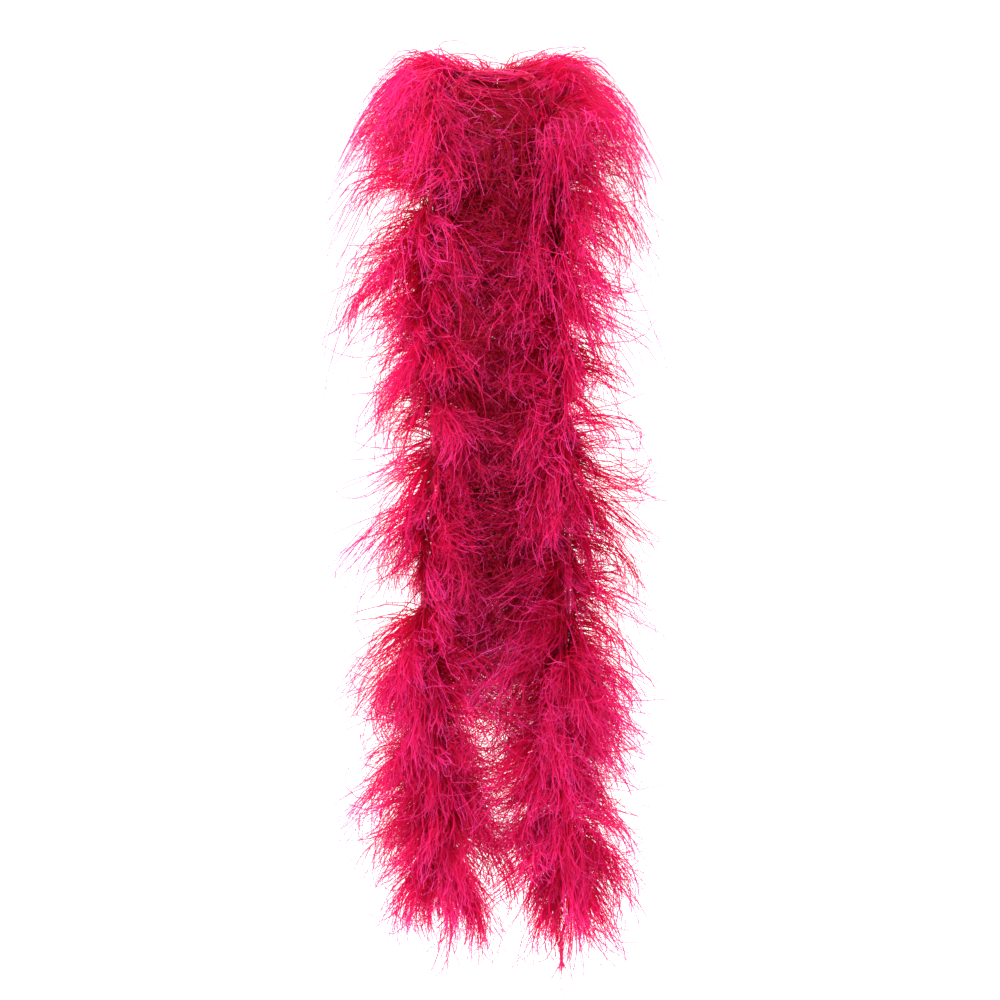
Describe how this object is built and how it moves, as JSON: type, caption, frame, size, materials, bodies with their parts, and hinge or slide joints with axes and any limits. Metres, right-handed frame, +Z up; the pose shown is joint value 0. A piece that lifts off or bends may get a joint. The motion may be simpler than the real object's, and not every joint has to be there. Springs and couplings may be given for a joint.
{
  "type": "feather boa",
  "caption": "Long ostrich-feather boa worn round a neck, both ends hanging side by side down the front, with a twisted core cord, bound plumes, end knots and thread tails.",
  "frame": {"origin": "on the upright axis of the wearer's neck, level with the cord at the nape", "axes": "+Z up, the wearer faces -Y, -X is the strand and shoulder called left (on the left seen from the front)"},
  "size_m": [0.3721, 0.3333, 1.0298],
  "materials": {
    "plumes": "soft dyed feather flues",
    "quills": "dyed, satin",
    "core_cord": "twisted cord",
    "binding_thread": "wound thread",
    "tail_thread": "twisted thread"
  },
  "bodies": {
    "collar": {"binding_thread_collar": "binding_thread", "core_cord_collar": "core_cord", "plumes_left_chest_ply_1": "plumes", "plumes_left_chest_ply_2": "plumes", "plumes_left_chest_ply_3": "plumes", "plumes_nape_ply_1": "plumes", "plumes_nape_ply_2": "plumes", "plumes_nape_ply_3": "plumes", "plumes_right_chest_ply_1": "plumes", "plumes_right_chest_ply_2": "plumes", "plumes_right_chest_ply_3": "plumes", "quills_collar": "quills"},
    "left_upper": {"binding_thread_left_upper": "binding_thread", "core_cord_left_upper": "core_cord", "plumes_left_upper_ply_1": "plumes", "plumes_left_upper_ply_2": "plumes", "plumes_left_upper_ply_3": "plumes", "quills_left_upper": "quills"},
    "left_middle": {"binding_thread_left_middle": "binding_thread", "core_cord_left_middle": "core_cord", "plumes_left_middle_ply_1": "plumes", "plumes_left_middle_ply_2": "plumes", "plumes_left_middle_ply_3": "plumes", "quills_left_middle": "quills"},
    "left_lower": {"binding_thread_left_lower": "binding_thread", "core_cord_left_lower": "core_cord", "end_knot_left": "tail_thread", "plumes_left_lower_ply_1": "plumes", "plumes_left_lower_ply_2": "plumes", "plumes_left_lower_ply_3": "plumes", "quills_left_lower": "quills"},
    "left_tail": {"tail_cord_left": "tail_thread", "tail_knots_left": "tail_thread", "tail_tassel_left": "tail_thread"},
    "right_upper": {"binding_thread_right_upper": "binding_thread", "core_cord_right_upper": "core_cord", "plumes_right_upper_ply_1": "plumes", "plumes_right_upper_ply_2": "plumes", "plumes_right_upper_ply_3": "plumes", "quills_right_upper": "quills"},
    "right_middle": {"binding_thread_right_middle": "binding_thread", "core_cord_right_middle": "core_cord", "plumes_right_middle_ply_1": "plumes", "plumes_right_middle_ply_2": "plumes", "plumes_right_middle_ply_3": "plumes", "quills_right_middle": "quills"},
    "right_lower": {"binding_thread_right_lower": "binding_thread", "core_cord_right_lower": "core_cord", "end_knot_right": "tail_thread", "plumes_right_lower_ply_1": "plumes", "plumes_right_lower_ply_2": "plumes", "plumes_right_lower_ply_3": "plumes", "quills_right_lower": "quills"},
    "right_tail": {"tail_cord_right": "tail_thread", "tail_knots_right": "tail_thread", "tail_tassel_right": "tail_thread"}
  },
  "joints": [
    {"name": "left_bust_bend", "type": "hinge", "parent": "collar", "child": "left_upper", "pos_m": [-0.076, -0.124, -0.27], "axis": [-1, 0, 0], "range_deg": [0, 40]},
    {"name": "left_waist_bend", "type": "hinge", "parent": "left_upper", "child": "left_middle", "pos_m": [-0.074, -0.125, -0.49], "axis": [0, 1, 0], "range_deg": [0, 35]},
    {"name": "left_thigh_bend", "type": "hinge", "parent": "left_middle", "child": "left_lower", "pos_m": [-0.075, -0.124, -0.71], "axis": [-1, 0, 0], "range_deg": [-20, 35]},
    {"name": "left_tail_bend", "type": "hinge", "parent": "left_lower", "child": "left_tail", "pos_m": [-0.06596, -0.124, -0.9162], "axis": [0, 1, 0], "range_deg": [-50, 50]},
    {"name": "right_bust_bend", "type": "hinge", "parent": "collar", "child": "right_upper", "pos_m": [0.067, -0.124, -0.27], "axis": [-1, 0, 0], "range_deg": [0, 40]},
    {"name": "right_waist_bend", "type": "hinge", "parent": "right_upper", "child": "right_middle", "pos_m": [0.078, -0.125, -0.49], "axis": [0, -1, 0], "range_deg": [0, 35]},
    {"name": "right_thigh_bend", "type": "hinge", "parent": "right_middle", "child": "right_lower", "pos_m": [0.071, -0.124, -0.71], "axis": [-1, 0, 0], "range_deg": [-20, 35]},
    {"name": "right_tail_bend", "type": "hinge", "parent": "right_lower", "child": "right_tail", "pos_m": [0.07808, -0.12398, -0.9312], "axis": [0, -1, 0], "range_deg": [-50, 50]}
  ]
}
